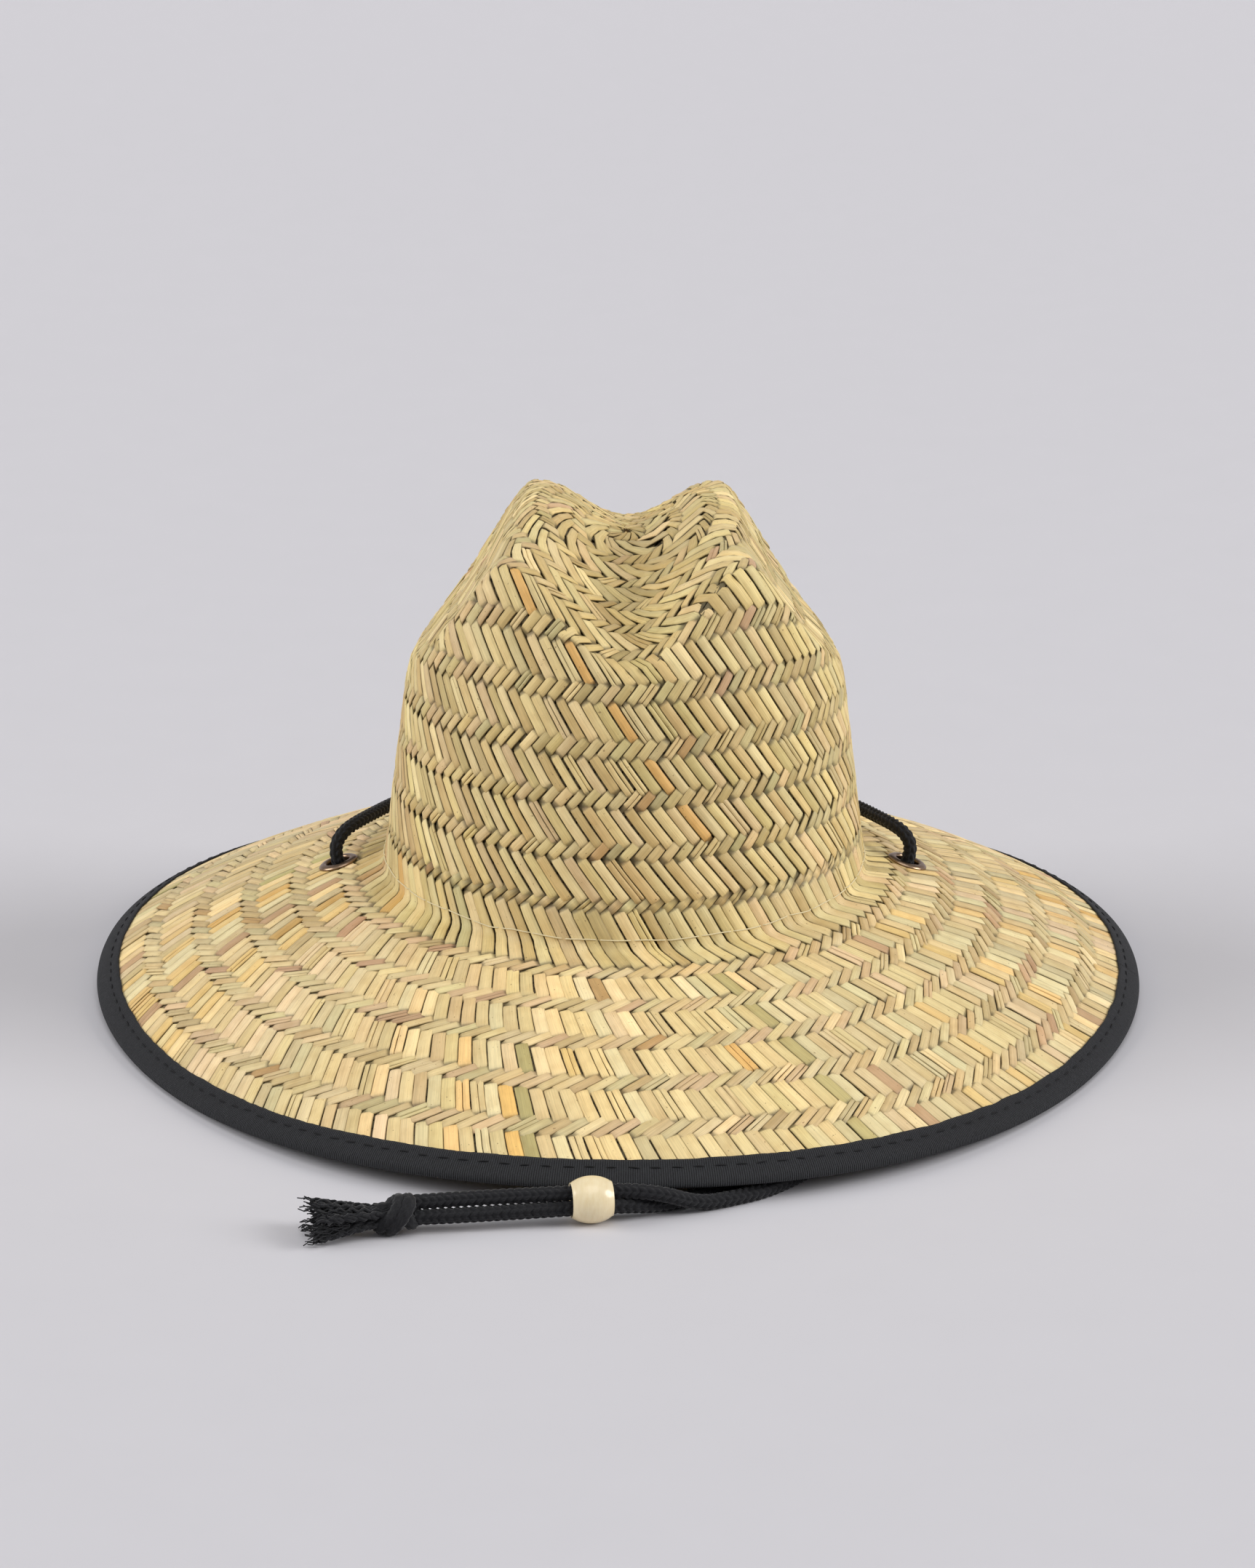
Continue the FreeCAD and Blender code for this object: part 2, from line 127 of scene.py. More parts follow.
def brim_points(angle, share):
    """Points of the brim's top, which is slightly three-cornered."""
    lobe = np.sin(3.0 * angle)
    swell = 1.0 + LOBE_SHARE * share * lobe
    x = (HALF_W + (BRIM_HALF_W - HALF_W) * share) * np.cos(angle) * swell
    y = (HALF_L + (BRIM_HALF_L - HALF_L) * share) * np.sin(angle) * swell
    rim = RIM_HEIGHT + LOBE_LIFT * (1.0 + lobe)
    z = FOOT + (rim - FOOT) * (0.64 * share + 0.36 * np.maximum(share, 0.0) ** 2.37)
    return np.stack([x + BRIM_SHIFT * share + CX, y + CY, z + 0.0 * x], axis=-1)


class Surface:
    """A grid of points and normals that can be read anywhere, by angle and by share."""

    def __init__(self, points, low, high):
        self.points = points                       # (angles, shares, 3), closed round the angle
        self.low, self.high = low, high
        around = np.roll(points, -1, axis=0) - np.roll(points, 1, axis=0)
        along = np.gradient(points, axis=1)
        normal = np.cross(along, around)
        normal /= np.linalg.norm(normal, axis=2, keepdims=True) + 1e-12
        self.normals = normal if normal[:, :, 2].mean() > 0 else -normal

    def read(self, grid, angle, share):
        count, rows = grid.shape[:2]
        a = np.mod(angle / (2.0 * np.pi), 1.0) * count
        r = np.clip((share - self.low) / (self.high - self.low), 0.0, 1.0) * (rows - 1)
        a0 = np.floor(a).astype(int)
        r0 = np.minimum(np.floor(r).astype(int), rows - 2)
        fa, fr = (a - a0)[..., None], (r - r0)[..., None]
        a0 %= count
        a1 = (a0 + 1) % count
        near = grid[a0, r0] * (1 - fa) + grid[a1, r0] * fa
        far = grid[a0, r0 + 1] * (1 - fa) + grid[a1, r0 + 1] * fa
        return near * (1 - fr) + far * fr

    def at(self, angle, share):
        normal = self.read(self.normals, angle, share)
        normal /= np.linalg.norm(normal, axis=-1, keepdims=True) + 1e-12
        return self.read(self.points, angle, share), normal


SURFACE_ANGLES = full_turn(720)


def make_surfaces():
    """The crown and the brim, each as a grid."""
    crown = np.stack([crown_points(a, 240) for a in SURFACE_ANGLES])
    shares = np.linspace(-0.02, 1.02, 200)
    brim = brim_points(SURFACE_ANGLES[:, None], shares[None, :])
    return Surface(crown, 0.0, 1.0), Surface(brim, shares[0], shares[-1])


CROWN, BRIM = make_surfaces()

CROWN_ROW, BRIM_ROW = 0.015, 0.02833               # a row of the weave, as a share of each surface


def make_fold():
    """The brim's inner part and the crown's foot as one surface, rounded where they meet, in rows."""
    rows = np.linspace(-6.0, 6.6, 253)
    reach = 8                                      # points on each side that a point is averaged over
    a, r = np.meshgrid(SURFACE_ANGLES, rows, indexing="ij")
    points = np.where((r < 0.0)[..., None], BRIM.at(a, -r * BRIM_ROW)[0], CROWN.at(a, r * CROWN_ROW)[0])
    for _ in range(3):
        gone = np.concatenate([points[:, :reach], points, points[:, -reach:]], axis=1).cumsum(axis=1)
        smooth = (gone[:, 2 * reach:] - gone[:, :-2 * reach]) / (2.0 * reach)
        points[:, reach:-reach] = smooth[:, reach:-reach][:, : points.shape[1] - 2 * reach]
    return Surface(points, rows[0], rows[-1])


FOLD = make_fold()

EYELET_SHARE = 0.16
EYELET_ANGLES = {"left": np.pi - math.radians(2.4), "right": math.radians(4.9)}
EYELETS = {side: BRIM.at(np.array(a), np.array(EYELET_SHARE)) for side, a in EYELET_ANGLES.items()}
EYELET_BORE, EYELET_BARREL, EYELET_FLANGE = 4.3, 4.9, 7.35
# How far round and above an eyelet the straw is pushed aside, and the radius that is cut away.
PUSH_REACH, PUSH_DEPTH, CUT_RADIUS = 14.0, 8.0, 3.9


# ---------------------------------------------------------------- mesh helpers
def new_object(name, data):
    """A new object in the scene."""
    thing = bpy.data.objects.new(name, data)
    bpy.context.scene.collection.objects.link(thing)
    return thing


def make_mesh(name, points, faces, material, node, body="hat", strand=None, tint=None):
    """A piece of the object that stands for a CAD node, from arrays in millimetres.

    strand and tint are values at each point, which the materials read: the place across and along
    a strip, tape or cord with a seed, and a strip's colour with its painted shade.
    """
    points = np.asarray(points, dtype=np.float64).reshape(-1, 3)
    faces = np.asarray(faces, dtype=np.int32)
    mesh = bpy.data.meshes.new(name)
    mesh.vertices.add(len(points))
    mesh.vertices.foreach_set("co", (points * MM).ravel())
    mesh.loops.add(faces.size)
    mesh.loops.foreach_set("vertex_index", faces.ravel())
    mesh.polygons.add(len(faces))
    mesh.polygons.foreach_set("loop_start", np.arange(len(faces), dtype=np.int32) * faces.shape[1])
    mesh.polygons.foreach_set("use_smooth", np.full(len(faces), True))
    mesh.update(calc_edges=True)
    for label, kind, field, values in (
        ("strand", "FLOAT_VECTOR", "vector", strand),
        ("strip_colour_and_painted_shade", "FLOAT_COLOR", "color", tint),
    ):
        if values is not None:
            layer = mesh.attributes.new(label, kind, "POINT")
            layer.data.foreach_set(field, np.asarray(values, dtype=np.float32).ravel())
    mesh.validate()
    mesh.materials.append(MATERIALS[material])
    piece = new_object(name, mesh)
    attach(piece, body)
    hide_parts(node)
    return piece


def grid_faces(rows, columns, close_rows=False, close_columns=False):
    """Quads of a grid whose points run along its columns first."""
    r = np.arange(rows if close_rows else rows - 1)
    c = np.arange(columns if close_columns else columns - 1)
    r, c = np.meshgrid(r, c, indexing="ij")
    r1, c1 = (r + 1) % rows, (c + 1) % columns
    quads = np.stack([r * columns + c, r1 * columns + c, r1 * columns + c1, r * columns + c1], axis=-1)
    return quads.reshape(-1, 4)


def merge(parts):
    """Joins (points, faces, *values) lists into one."""
    points, faces, values, start = [], [], [], 0
    for part in parts:
        points.append(part[0].reshape(-1, 3))
        faces.append(part[1] + start)
        values.append(part[2:])
        start += len(points[-1])
    extra = [np.concatenate(column) for column in zip(*values)] if values and values[0] else []
    return [np.concatenate(points), np.concatenate(faces)] + extra


def round_eyelets(points, faces):
    """Pushes the straw aside round each eyelet's barrel and opens the hole."""
    keep = np.ones(len(faces), dtype=bool)
    for centre, normal in EYELETS.values():
        offset = points - centre
        depth = offset @ normal
        flat = offset - depth[:, None] * normal
        reach = np.linalg.norm(flat, axis=1)
        near = (reach < PUSH_REACH) & (np.abs(depth) < PUSH_DEPTH)
        if not near.any():
            continue
        middle = flat[faces].mean(axis=1)
        inside = (np.linalg.norm(middle, axis=1) < CUT_RADIUS) & near[faces].all(axis=1)
        keep &= ~inside
        wide = (reach**4 + EYELET_BARREL**4) ** 0.25
        moved = centre + depth[:, None] * normal + flat * (wide / np.maximum(reach, 1e-6))[:, None]
        points = np.where(near[:, None], moved, points)
    return points, faces[keep]


# ---------------------------------------------------------------- materials
def srgb(r, g, b):
    """A colour given as 0 to 255 in sRGB, as linear RGB."""
    values = np.array([r, g, b]) / 255.0
    return np.where(values <= 0.04045, values / 12.92, ((values + 0.055) / 1.055) ** 2.4)


class Nodes:
    """A new material and short calls to build its nodes."""

    def __init__(self, name):
        self.material = bpy.data.materials.new(name)
        self.material.use_nodes = True
        self.tree = self.material.node_tree
        self.shader = self.tree.nodes["Principled BSDF"]

    def settings(self, **numbers):
        """Sets the shader's own sockets. An underscore stands for a space."""
        for label, number in numbers.items():
            self.shader.inputs[label.replace("_", " ")].default_value = number

    def add(self, kind, **settings):
        node = self.tree.nodes.new(kind)
        for key, value in settings.items():
            setattr(node, key, value)
        return node

    def join(self, source, target):
        self.tree.links.new(source, target)

    def feed(self, socket, value):
        if isinstance(value, bpy.types.NodeSocket):
            self.join(value, socket)
        else:
            socket.default_value = value

    def math(self, operation, a, b=0.0):
        node = self.add("ShaderNodeMath", operation=operation)
        self.feed(node.inputs[0], a)
        self.feed(node.inputs[1], b)
        return node.outputs[0]

    def attribute(self, name):
        return self.add("ShaderNodeAttribute", attribute_name=name)

    def scaled(self, vector, x, y, z):
        node = self.add("ShaderNodeVectorMath", operation="MULTIPLY")
        self.join(vector, node.inputs[0])
        node.inputs[1].default_value = (x, y, z)
        return node.outputs[0]

    def noise(self, vector, scale, detail=3.0, roughness=0.55):
        node = self.add("ShaderNodeTexNoise")
        self.join(vector, node.inputs["Vector"])
        node.inputs["Scale"].default_value = scale
        node.inputs["Detail"].default_value = detail
        node.inputs["Roughness"].default_value = roughness
        return node.outputs["Fac"]

    def spread(self, value, low, high, to_low=0.0, to_high=1.0):
        node = self.add("ShaderNodeMapRange")
        self.join(value, node.inputs["Value"])
        for label, number in (("From Min", low), ("From Max", high), ("To Min", to_low), ("To Max", to_high)):
            node.inputs[label].default_value = number
        return node.outputs["Result"]

    def tint(self, colour, factor, other, blend="MIX"):
        node = self.add("ShaderNodeMix", data_type="RGBA", blend_type=blend)
        self.feed(node.inputs["Factor"], factor)
        for socket, value in ((node.inputs[6], colour), (node.inputs[7], other)):
            if not isinstance(value, bpy.types.NodeSocket):
                value = (*value, 1.0)
            self.feed(socket, value)
        return node.outputs[2]

    def bump(self, height, strength, distance):
        node = self.add("ShaderNodeBump")
        self.join(height, node.inputs["Height"])
        node.inputs["Strength"].default_value = strength
        node.inputs["Distance"].default_value = distance * MM
        self.join(node.outputs["Normal"], self.shader.inputs["Normal"])


def straw_material(name):
    """Rush strips: the colour and painted shade that each has in its mesh, lengthwise grain and a few specks.
    """
    n = Nodes(name)
    strand = n.attribute("strand").outputs["Vector"]
    colour = n.attribute("strip_colour_and_painted_shade").outputs["Color"]
    fibres = n.noise(n.scaled(strand, 2.6, 0.055, 1.0), 1.0, 4.0, 0.62)
    fine = n.noise(n.scaled(strand, 7.5, 0.12, 1.0), 1.0, 2.0, 0.5)
    blotch = n.noise(n.scaled(strand, 0.22, 0.16, 1.0), 1.0, 2.0, 0.5)
    speck = n.noise(n.scaled(strand, 1.1, 0.8, 3.0), 1.0, 1.0, 0.4)
    grain = n.math("ADD", n.math("MULTIPLY", fibres, 0.65), n.math("MULTIPLY", fine, 0.35))
    shade = n.spread(grain, 0.32, 0.68, 0.86, 1.20)
    toned = n.tint(colour, n.spread(blotch, 0.42, 0.70, 0.0, 0.55), srgb(196, 164, 104), "MULTIPLY")
    toned = n.tint(colour, 0.35, toned)
    dark = n.spread(speck, 0.735, 0.80, 0.0, 0.6)
    toned = n.tint(toned, dark, srgb(120, 84, 46))
    bright = n.add("ShaderNodeVectorMath", operation="SCALE")
    n.join(toned, bright.inputs[0])
    n.join(shade, bright.inputs["Scale"])
    n.join(bright.outputs[0], n.shader.inputs["Base Color"])
    n.join(n.spread(grain, 0.3, 0.7, 0.62, 0.46), n.shader.inputs["Roughness"])
    n.settings(Specular_IOR_Level=0.38)
    n.bump(grain, 0.55, 0.22)
    return n.material


def plain_material(name, colour, roughness, specular=0.5, metallic=0.0, mottling=0.06, grain_mm=0.6):
    """A surface with a fine mottled grain in its colour and its relief."""
    n = Nodes(name)
    place = n.add("ShaderNodeTexCoord").outputs["Object"]
    mottle = n.noise(place, 1.0 / (grain_mm * MM), 3.0, 0.6)
    darker, lighter = colour * (1.0 - mottling), np.minimum(colour * (1.0 + mottling), 1.0)
    bright = n.tint(tuple(darker), n.spread(mottle, 0.3, 0.7), tuple(lighter))
    n.join(bright, n.shader.inputs["Base Color"])
    rough = n.spread(mottle, 0.3, 0.7, roughness * 0.9, min(roughness * 1.1, 1.0))
    n.join(rough, n.shader.inputs["Roughness"])
    n.settings(Specular_IOR_Level=specular, Metallic=metallic)
    n.bump(mottle, 0.2, 0.05)
    return n.material


def tape_material():
    """Black grosgrain: fine ribs straight across the tape and a slight bloom."""
    n = Nodes("grosgrain_black")
    strand = n.attribute("strand").outputs["Vector"]
    parts = n.add("ShaderNodeSeparateXYZ")
    n.join(strand, parts.inputs[0])
    rib = n.math("SINE", n.math("MULTIPLY", parts.outputs["Y"], 2.0 * math.pi / RIB_PITCH))
    wander = n.noise(n.scaled(strand, 0.5, 3.2, 1.0), 1.0, 3.0, 0.6)
    weft = n.noise(n.scaled(strand, 5.0, 1.2, 1.0), 1.0, 2.0, 0.5)
    cloth = n.math("ADD", wander, n.math("MULTIPLY", weft, 0.5))
    relief = n.math("ADD", n.math("MULTIPLY", rib, 0.36), cloth)
    # Painted light on the ribs: the colour follows the relief, lighter on the rib crests and darker in their
    # grooves, over the cloth's own uneven yarn tone.
    colour = n.tint(srgb(5, 5, 7), n.spread(relief, 0.35, 1.1), srgb(46, 47, 51))
    n.join(colour, n.shader.inputs["Base Color"])
    n.join(n.spread(relief, 0.2, 1.3, 0.82, 0.6), n.shader.inputs["Roughness"])
    n.settings(Specular_IOR_Level=0.3, Sheen_Weight=0.05, Sheen_Roughness=0.5)
    n.bump(relief, 1.0, 0.45)
    return n.material


def cord_material():
    """Soft black cotton: fine yarn grain and a faint fuzz."""
    n = Nodes("cord_black")
    strand = n.attribute("strand").outputs["Vector"]
    yarn = n.noise(n.scaled(strand, 3.2, 1.6, 1.0), 1.0, 4.0, 0.65)
    place = n.add("ShaderNodeTexCoord").outputs["Object"]
    fuzz = n.noise(place, 1.0 / (0.35 * MM), 2.0, 0.6)
    relief = n.math("ADD", yarn, n.math("MULTIPLY", fuzz, 0.6))
    colour = n.tint(srgb(9, 9, 11), n.spread(relief, 0.55, 1.1), srgb(36, 36, 40))
    n.join(colour, n.shader.inputs["Base Color"])
    n.settings(Roughness=0.75, Specular_IOR_Level=0.3, Sheen_Weight=0.2, Sheen_Roughness=0.4)
    n.bump(relief, 0.6, 0.2)
    return n.material


def bead_material():
    """Cream gloss with faint turned wood grain under the lacquer."""
    n = Nodes("bead_cream")
    place = n.add("ShaderNodeTexCoord").outputs["Object"]
    grain = n.noise(n.scaled(place, 900.0, 260.0, 260.0), 1.0, 3.0, 0.6)
    colour = n.tint(srgb(238, 217, 172), n.spread(grain, 0.3, 0.7), srgb(246, 229, 190))
    n.join(colour, n.shader.inputs["Base Color"])
    n.settings(Roughness=0.32, Coat_Weight=0.5, Coat_Roughness=0.12)
    n.bump(grain, 0.06, 0.05)
    return n.material


RIB_PITCH = 0.75                                   # of the binding tape
MATERIALS = {
    "straw": straw_material("rush_straw"),
    # The dark sheet between the strip layers is painted shade, which shows through the gaps of the weave.
    "core": plain_material("rush_shadow", srgb(74, 56, 32), 0.9, 0.1, mottling=0.3, grain_mm=2.0),
    "tape": tape_material(),
    "black_thread": plain_material("thread_black", srgb(20, 20, 22), 0.7, 0.3, mottling=0.3, grain_mm=0.3),
    "cream_thread": plain_material(
        "thread_cream", srgb(226, 212, 172), 0.8, 0.2, mottling=0.12, grain_mm=0.4),
    "sweatband": plain_material("sweatband_black", srgb(34, 34, 37), 0.85, 0.2, mottling=0.35, grain_mm=0.5),
    "brass": plain_material("brass_aged", srgb(150, 126, 104), 0.3, 0.5, 1.0, mottling=0.15, grain_mm=1.5),
    "cord": cord_material(),
    "bead": bead_material(),
}


# ---------------------------------------------------------------- woven rush
CROWN_A = [srgb(*c) for c in (
    (232, 208, 148), (225, 201, 141), (237, 214, 157), (219, 194, 132), (230, 202, 148), (222, 203, 146),
    (214, 186, 126), (230, 205, 141))]
CROWN_B = [srgb(*c) for c in (
    (222, 197, 137), (214, 190, 130), (227, 203, 145), (206, 180, 120), (220, 192, 138), (214, 196, 140))]
BRIM_A = [srgb(*c) for c in (
    (246, 222, 168), (241, 215, 157), (238, 213, 156), (231, 206, 149), (249, 219, 158), (237, 217, 166),
    (243, 214, 166), (240, 205, 136), (226, 200, 145), (231, 214, 163))]
BRIM_B = [srgb(*c) for c in (
    (233, 209, 154), (226, 200, 146), (221, 202, 150), (228, 197, 150), (215, 187, 134), (236, 213, 161))]
RARE = [srgb(*c) for c in ((232, 186, 112), (200, 162, 108), (212, 174, 132), (194, 178, 120))]


def pick_colours(palette, count, rare_share):
    """One colour for each strip: from the palette, a few rare ones, each a little lighter or darker."""
    colours = np.array(palette)[rng.integers(0, len(palette), count)]
    rare = rng.random(count) < rare_share
    colours[rare] = np.array(RARE)[rng.integers(0, len(RARE), rare.sum())]
    return colours * rng.normal(1.0, 0.085, (count, 1)) * rng.normal(1.0, 0.014, (count, 3))


class Course:
    """Rows of crossings between two sets of slanting strips, on a surface whose share is in rows."""

    def __init__(self, surface, start, step, count, slant, turn=0.0):
        self.surface, self.start, self.step, self.count = surface, start, step, count
        self.slant = slant                         # units that the first set moves on in a row
        self.cross = slant + 1.0 if slant < 0.0 else slant - 1.0
        self.turn = turn

    def place(self, unit, row):
        angle = 2.0 * np.pi * (unit + self.turn) / self.count
        return self.surface.at(angle, self.start + self.step * row)


# A strip's section: place across its half width, and height in strip thicknesses.
SECTION = [(-1.0, -0.50), (-1.0, 0.02), (-0.87, 0.36), (0.0, 0.50), (0.87, 0.36), (1.0, 0.02), (1.0, -0.50)]
STRIP_THICK = 0.78
OVER, UNDER = -0.42, -1.36                         # a strip's height on top and underneath
# How uneven the strips are: how many are split, and how they vary along the rows, sideways, in
# width (with the most that one may be narrower), and in height and tilt.
SPLIT_SHARE, ROW_JITTER = 0.12, 0.10
STRIP_WANDER, STATION_WANDER = 0.026, 0.012
WIDTH_JITTER, LEAST_WIDTH = 0.045, 0.16
STRIP_LIFT, STATION_LIFT = 0.07, 0.03


def lay_strips(course, drift, profile, colours, width, edge, inner=False):
    """Closed ribbons along one set of strips. Some are split lengthwise in two.

    drift is how many units a strip moves on in a row, width its share of the spacing, and edge
    the factor of painted shade along its edges. The colours also carry painted shade where a strip
    dips under the other set.
    """
    stations, heights = profile
    split = rng.random(course.count) < SPLIT_SHARE
    ribbons = [(k, 0.0, 1.0) for k in range(course.count) if not split[k]]
    for k in np.flatnonzero(split):
        part = rng.uniform(0.35, 0.65)
        ribbons.append((k, part - 1.0, part - 0.04))
        ribbons.append((k, part, 0.96 - part))
    index = np.array([r[0] for r in ribbons])
    shift = np.array([r[1] for r in ribbons])
    share = np.array([r[2] for r in ribbons])
    count = len(ribbons)

    each, everywhere = (count, 1), (count, len(stations))
    rows = stations + rng.normal(0.0, ROW_JITTER, (course.count, 1))[index]
    wander = rng.normal(0.0, STRIP_WANDER, (course.count, 1))[index]
    wander = wander + rng.normal(0.0, STATION_WANDER, everywhere)
    units = index[:, None] + drift * rows + wander
    d = 0.02
    there, normal = course.place(units, rows)
    by_unit = (course.place(units + d, rows)[0] - course.place(units - d, rows)[0]) / (2 * d)
    by_row = (course.place(units, rows + d)[0] - course.place(units, rows - d)[0]) / (2 * d)
    along = drift * by_unit + by_row
    along_length = np.linalg.norm(along, axis=-1)
    spacing = np.linalg.norm(np.cross(by_unit, along), axis=-1) / np.maximum(along_length, 1e-6)
    aside = np.cross(normal, along / np.maximum(along_length, 1e-6)[..., None])

    # The sideways direction in units and rows, so that a wide strip follows the curved surface.
    uu, rr = (by_unit**2).sum(-1), (by_row**2).sum(-1)
    ur = (by_unit * by_row).sum(-1)
    au, ar = (aside * by_unit).sum(-1), (aside * by_row).sum(-1)
    det = np.maximum(uu * rr - ur**2, 1e-9)
    to_unit, to_row = (au * rr - ar * ur) / det, (ar * uu - au * ur) / det

    spread = np.clip(rng.normal(width, WIDTH_JITTER, course.count), width - LEAST_WIDTH, 1.0)[index]
    half = 0.5 * spacing * spread[:, None]
    lift = rng.normal(0.0, STRIP_LIFT, each) + rng.normal(0.0, STATION_LIFT, everywhere)
    roll = rng.normal(0.0, STRIP_LIFT, each) + rng.normal(0.0, STATION_LIFT, everywhere)
    level = np.asarray(heights)[None, :] + lift
    seed = rng.uniform(0.0, 500.0, count)
    steps = np.linalg.norm(np.diff(there, axis=1), axis=-1)
    run = np.concatenate([np.zeros(each), np.cumsum(steps, axis=1)], axis=1)

    points, strand = [], []
    for across, height in SECTION:
        offset = half * (shift[:, None] + share[:, None] * across)
        foot, up = course.place(units + to_unit * offset, rows + to_row * offset)
        high = level + height * STRIP_THICK + roll * across
        if inner:
            high = -WALL - high
        points.append(foot + up * high[..., None])
        strand.append(np.stack([offset, run, np.broadcast_to(seed[:, None], run.shape)], axis=-1))
    points = np.stack(points, axis=2)              # (ribbons, stations, section, 3)
    strand = np.stack(strand, axis=2)
    block = grid_faces(len(stations), len(SECTION), close_columns=True)
    size = len(stations) * len(SECTION)
    faces = (block[None] + (np.arange(count) * size)[:, None, None]).reshape(-1, 4)
    if (drift < 0.0) != inner:
        faces = faces[:, ::-1]
    # Painted shade in the colours: darker where a strip dips under the other set, down to a fifth of its
    # colour underneath, and darker towards its edges by edge.
    shade = np.interp(heights, (UNDER, 0.5 * (OVER + UNDER), OVER - 0.06, OVER), (0.20, 0.46, 0.94, 1.0))
    shade = shade[:, None] * np.array([0.5 * edge, edge, 0.98, 1.0, 0.98, edge, 0.5 * edge])
    tint = (colours[index % len(colours)][:, None, None] * shade[None, :, :, None]).reshape(-1, 3)
    tint = np.concatenate([tint, np.ones((len(tint), 1))], axis=1)
    return points.reshape(-1, 3), faces, strand.reshape(-1, 3), tint


def over_between(low, high, start, end):
    """A strip's stations and heights.

    It lies on top from low to high, and underneath out to start and end.
    """
    dip = 0.30
    body = list(np.linspace(low + 0.5, high - 0.5, max(2, int(round(0.8 * (high - low))))))
    if low < 0.0 < high and high - low > 6.0:      # more stations where it crosses the fold
        body = [low + 0.6, low + 1.6, -1.0, -0.5, 0.0, 0.5, 1.0, high - 1.6, high - 0.6]
    stations = [low - dip, low, low + 0.2] + body + [high - 0.2, high, high + dip]
    edge, middle = OVER - 0.06, 0.5 * (OVER + UNDER) - 0.05
    heights = [UNDER, middle, edge] + [OVER] * len(body) + [edge, middle, UNDER]
    if high - low < 1.5:
        stations = [low - dip, low, 0.5 * (low + high), high, high + dip]
        heights = [UNDER, middle, OVER, middle, UNDER]
    before = [s for s in (start, 0.5 * (start + low - dip)) if s < low - dip - 0.4]
    after = [s for s in (0.5 * (end + high + dip), end) if s > high + dip + 0.4]
    heights = [UNDER] * len(before) + heights + [UNDER] * len(after)
    return np.array(before + stations + after), np.array(heights)


def weave(name, parts, node):
    """Joins sets of strips into one piece, with its eyelet holes."""
    points, faces, strand, tint = merge(parts)
    points, faces = round_eyelets(points, faces)
    used, faces = np.unique(faces, return_inverse=True)
    faces = faces.reshape(-1, 4)
    make_mesh(name, points[used], faces, "straw", node, strand=strand[used], tint=tint[used])


KEPT_SHARE = 0.72


def next_colours(old, palette, count, rare_share, turn):
    """Colours for the next course: a strip mostly keeps the colour that it had in the one before."""
    fresh = pick_colours(palette, count, rare_share)
    if old is None:
        return fresh
    place = (np.arange(count) / count * len(old) - turn).round().astype(int) % len(old)
    kept = rng.random(count) < KEPT_SHARE
    fresh[kept] = old[place[kept]] * rng.normal(1.0, 0.03, (kept.sum(), 1))
    return fresh


# Strips of each set in each course, from the fold outwards. Courses are COURSE_ROWS rows apart.
CROWN_COUNTS = [106, 106, 106, 106, 100, 88, 70, 52, 32, 14]
BRIM_COUNTS = [138, 157, 176, 195, 212]
FOLD_COUNT = 112
COURSE_ROWS = 6
CROWN_START, BRIM_START = 0.0075, -0.0025          # shares that the courses are counted from
CROWN_SLANT, BRIM_SLANT, FOLD_SLANT = -0.46, 0.25, -0.33
# How wide the strips are, as a share of their spacing, and the factor of painted shade along their edges.
CROWN_FIT, BRIM_FIT = (0.90, 0.42), (0.955, 0.60)
SIDES = (("", False), ("_inside", True))


def weave_fold():
    """The long strips that run from the brim's first band over the fold to the crown's first band."""
    course = Course(FOLD, 0.0, 1.0, FOLD_COUNT, FOLD_SLANT)
    low, high = -3.41, 4.3
    first = pick_colours(CROWN_A, FOLD_COUNT, 0.03)
    second = pick_colours(CROWN_B, FOLD_COUNT, 0.03)
    third = pick_colours(BRIM_B, FOLD_COUNT, 0.03)
    for label, inner in SIDES:
        # After each set's colours come its width and the factor of painted shade along its edges.
        parts = [
            lay_strips(course, course.slant, over_between(low, high, -5.5, 5.9), first, 0.94, 0.5, inner),
            lay_strips(course, course.cross, over_between(high, 5.65, 1.0, 6.2), second, 0.92, 0.42, inner),
            lay_strips(
                course, course.cross, over_between(-5.51, low - 0.15, -6.0, -1.0), third, 0.96, 0.6, inner),
        ]
        weave("fold_weave" + label, parts, "straw_crown")


def weave_crown():
    """The crown's courses above the fold, outside and inside."""
    old_a = old_b = None
    for k, count in enumerate(CROWN_COUNTS, start=1):
        low = {1: -0.95, 2: -0.45, 3: -0.45}.get(k, -0.6)
        high, top = (3.85, 5.65) if k < 3 else (3.4, 5.5)
        start = CROWN_START + COURSE_ROWS * k * CROWN_ROW
        course = Course(CROWN, start, CROWN_ROW, count, CROWN_SLANT, turn=CROWN_SLANT * COURSE_ROWS * k)
        old_a = next_colours(old_a, CROWN_A, count, 0.03, 0.0)
        old_b = next_colours(old_b, CROWN_B, count, 0.03, 6.0)
        long, short = over_between(low, high, low - 0.9, top + 0.2), over_between(high, top, low, top + 0.7)
        for label, inner in SIDES:
            parts = [
                lay_strips(course, course.slant, long, old_a, *CROWN_FIT, inner),
                lay_strips(course, course.cross, short, old_b, *CROWN_FIT, inner),
            ]
            weave("crown_weave_%02d%s" % (k, label), parts, "straw_crown")


